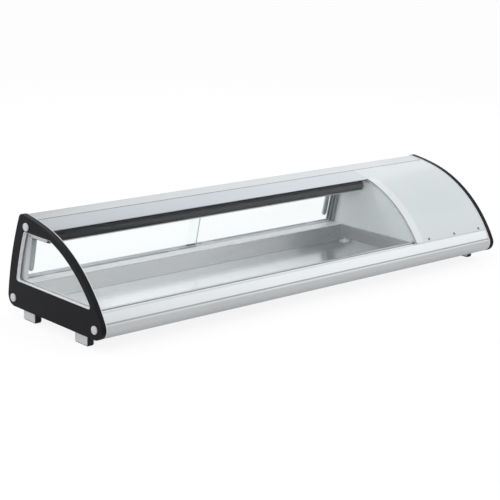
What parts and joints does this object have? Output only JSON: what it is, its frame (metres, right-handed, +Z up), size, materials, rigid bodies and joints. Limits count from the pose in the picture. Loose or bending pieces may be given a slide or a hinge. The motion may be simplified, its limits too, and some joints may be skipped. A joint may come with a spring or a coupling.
{
  "type": "refrigerated display case",
  "caption": "Counter-top refrigerated display case with curved front glass, glazed end cheek, stainless well, sliding rear doors and a cooling machine under a curved cover.",
  "frame": {"origin": "on the counter surface, under the middle of the case in length and depth", "axes": "+X along the length towards the machine end, -Y towards the customer (curved glass), +Z up"},
  "size_m": [1.51, 0.415, 0.2856],
  "materials": {
    "cheek_plastic": "satin, fine grain",
    "clear_glass": "clear float glass",
    "anodised": "satin anodised extrusion",
    "raw_aluminium": "mill finish sheet",
    "stainless": "brushed sheet",
    "painted_sheet": "pale powder coat",
    "light_plastic": "satin moulding",
    "dark_plastic": "matt moulding",
    "black_rubber": "matt rubber",
    "foam": "rigid foam",
    "copper": "bare copper",
    "black_enamel": "baked enamel",
    "screw_steel": "darkened steel",
    "display_window": "dark display window",
    "foot_steel": "pale coated steel"
  },
  "bodies": {
    "case": {"left_cheek": "cheek_plastic", "right_cheek": "cheek_plastic", "left_end_pane": "clear_glass", "front_glass": "clear_glass", "top_profile": "anodised", "top_trim": "anodised", "front_profile": "anodised", "rear_profile": "anodised", "cover_rail": "anodised", "drip_tray": "raw_aluminium", "evaporator_fins": "raw_aluminium", "condenser_fins": "raw_aluminium", "well_liner": "stainless", "machine_cover": "painted_sheet", "partition_panel": "painted_sheet", "machine_rear_panel": "painted_sheet", "base_pan": "painted_sheet", "cheek_caps": "light_plastic", "end_strips": "light_plastic", "window_trims": "light_plastic", "cover_edge_strip": "light_plastic", "drain_pipe": "light_plastic", "door_posts": "dark_plastic", "evaporator_shroud": "dark_plastic", "start_relay": "dark_plastic", "fan_shroud": "dark_plastic", "fan_motor": "dark_plastic", "machine_side_panel": "dark_plastic", "controller_body": "dark_plastic", "power_switch": "dark_plastic", "power_inlet": "dark_plastic", "partition_seal": "black_rubber", "compressor_grommets": "black_rubber", "foot_rubbers": "black_rubber", "base_insulation": "foam", "partition_insulation": "foam", "evaporator_tube": "copper", "condenser_tube": "copper", "filter_drier": "copper", "discharge_pipe": "copper", "liquid_line": "copper", "suction_pipe": "copper", "compressor": "black_enamel", "cheek_bolts": "screw_steel", "cover_screws": "screw_steel", "rear_panel_screws": "screw_steel", "controller_window": "display_window", "foot_brackets": "foot_steel"},
    "left_door": {"left_door": "clear_glass", "left_door_handle": "light_plastic", "left_door_glides": "black_rubber"},
    "right_door": {"right_door": "clear_glass", "right_door_handle": "light_plastic", "right_door_glides": "black_rubber"},
    "fan": {"fan_blade": "dark_plastic"},
    "rocker": {"rocker": "dark_plastic"},
    "set_button": {"button_set": "light_plastic"},
    "up_button": {"button_up": "light_plastic"},
    "down_button": {"button_down": "light_plastic"},
    "plug": {"drain_plug": "light_plastic"}
  },
  "joints": [
    {"name": "left_door_slide", "type": "slide", "parent": "case", "child": "left_door", "axis": [1, 0, 0], "range_m": [0, 0.552]},
    {"name": "right_door_slide", "type": "slide", "parent": "case", "child": "right_door", "axis": [-1, 0, 0], "range_m": [0, 0.552]},
    {"name": "fan_spin", "type": "hinge", "parent": "case", "child": "fan", "pos_m": [0.656, 0.068, 0.113], "axis": [0, 1, 0], "continuous": true},
    {"name": "rocker_tilt", "type": "hinge", "parent": "case", "child": "rocker", "pos_m": [0.572, 0.15888, 0.22592], "axis": [1, 0, 0], "range_deg": [0, 18]},
    {"name": "set_button_press", "type": "slide", "parent": "case", "child": "set_button", "axis": [0, -0.9781, -0.2079], "range_m": [0, 0.001], "stiffness_N_per_m": 300},
    {"name": "up_button_press", "type": "slide", "parent": "case", "child": "up_button", "axis": [0, -0.9781, -0.2079], "range_m": [0, 0.001], "stiffness_N_per_m": 300},
    {"name": "down_button_press", "type": "slide", "parent": "case", "child": "down_button", "axis": [0, -0.9781, -0.2079], "range_m": [0, 0.001], "stiffness_N_per_m": 300},
    {"name": "plug_lift", "type": "slide", "parent": "case", "child": "plug", "axis": [0, 0, 1], "range_m": [0, 0.04]}
  ]
}
